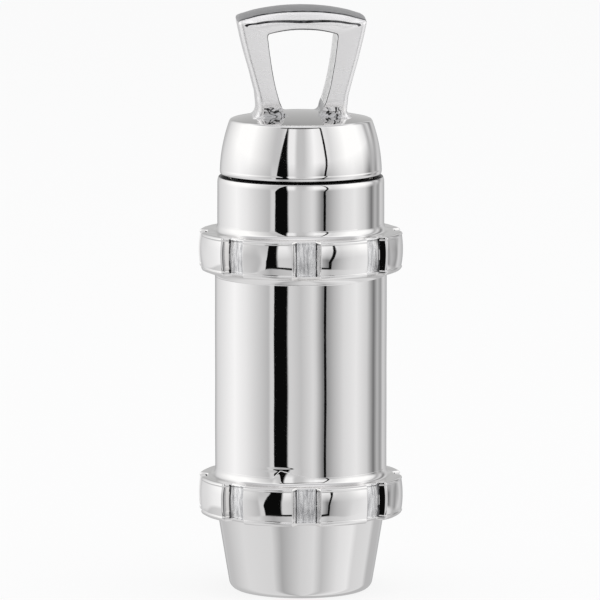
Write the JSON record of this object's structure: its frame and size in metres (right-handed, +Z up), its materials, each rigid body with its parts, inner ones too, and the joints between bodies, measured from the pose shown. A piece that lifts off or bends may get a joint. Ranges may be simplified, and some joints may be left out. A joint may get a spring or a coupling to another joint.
{
  "type": "screw-capped capsule pendant",
  "caption": "Silver cylinder-puzzle-style capsule pendant: cogged collars on a tube, tapered base, screw-off cap with an open trapezoid bail.",
  "frame": {"origin": "centre of the flat foot of the base cup, on the capsule's axis", "axes": "+Z up the capsule's axis to the bail; -Y is the front, the way one face of the bail's window looks; X runs along the bail's width"},
  "size_m": [0.0124, 0.0124, 0.0356],
  "materials": {
    "polished_silver": "hand-polished sterling silver",
    "satin_silver": "satin sterling silver",
    "turned_silver": "sterling silver as turned and screw-cut",
    "seal_rubber": "moulded"
  },
  "bodies": {
    "vessel": {"body_tube": "polished_silver", "neck_ring": "polished_silver", "upper_collar": "polished_silver", "lower_collar": "polished_silver", "base_cup": "satin_silver", "thread_bush": "turned_silver"},
    "seal": {"seal_ring": "seal_rubber"},
    "cap": {"cap_shell": "polished_silver", "threaded_plug": "turned_silver", "bail": "satin_silver"}
  },
  "joints": [
    {"name": "cap_lift", "type": "slide", "parent": "vessel", "child": "seal", "axis": [0, 0, 1], "range_m": [0, 0.0045]},
    {"name": "cap_turn", "type": "hinge", "parent": "seal", "child": "cap", "pos_m": [0, 0, 0.02535], "axis": [0, 0, 1], "range_deg": [0, 2160]}
  ],
  "couplings": [
    {"joint": "cap_turn", "follows": "cap_lift", "rad_per_m": 8377.6}
  ]
}
